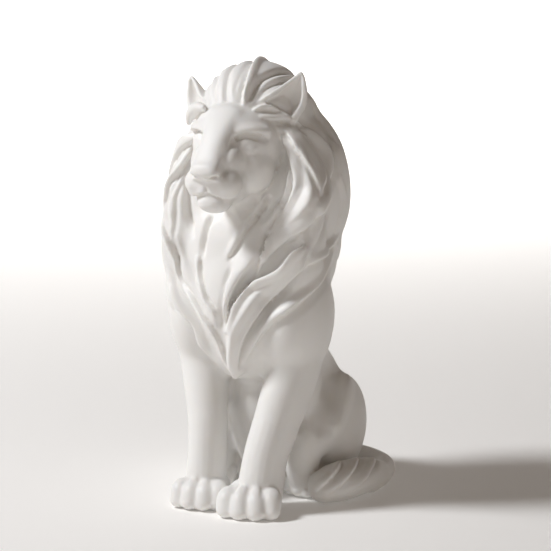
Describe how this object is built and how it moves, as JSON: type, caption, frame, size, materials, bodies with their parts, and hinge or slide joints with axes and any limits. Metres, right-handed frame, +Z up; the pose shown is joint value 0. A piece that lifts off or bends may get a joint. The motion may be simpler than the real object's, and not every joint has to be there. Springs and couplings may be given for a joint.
{
  "type": "lion sculpture",
  "caption": "Sitting lion figure with a flowing carved mane, cupped ears, upright forelegs and a tail curled round its side; stands on its paws and haunches.",
  "frame": {"origin": "middle of the footprint's bounding box, on the surface that the figure stands on", "axes": "+Z up, the lion looks toward -Y, +X is the lion's left"},
  "size_m": [0.1388, 0.169, 0.2956],
  "materials": {
    "resin": "satin"
  },
  "bodies": {
    "root": {"lion": "resin"}
  },
  "joints": []
}
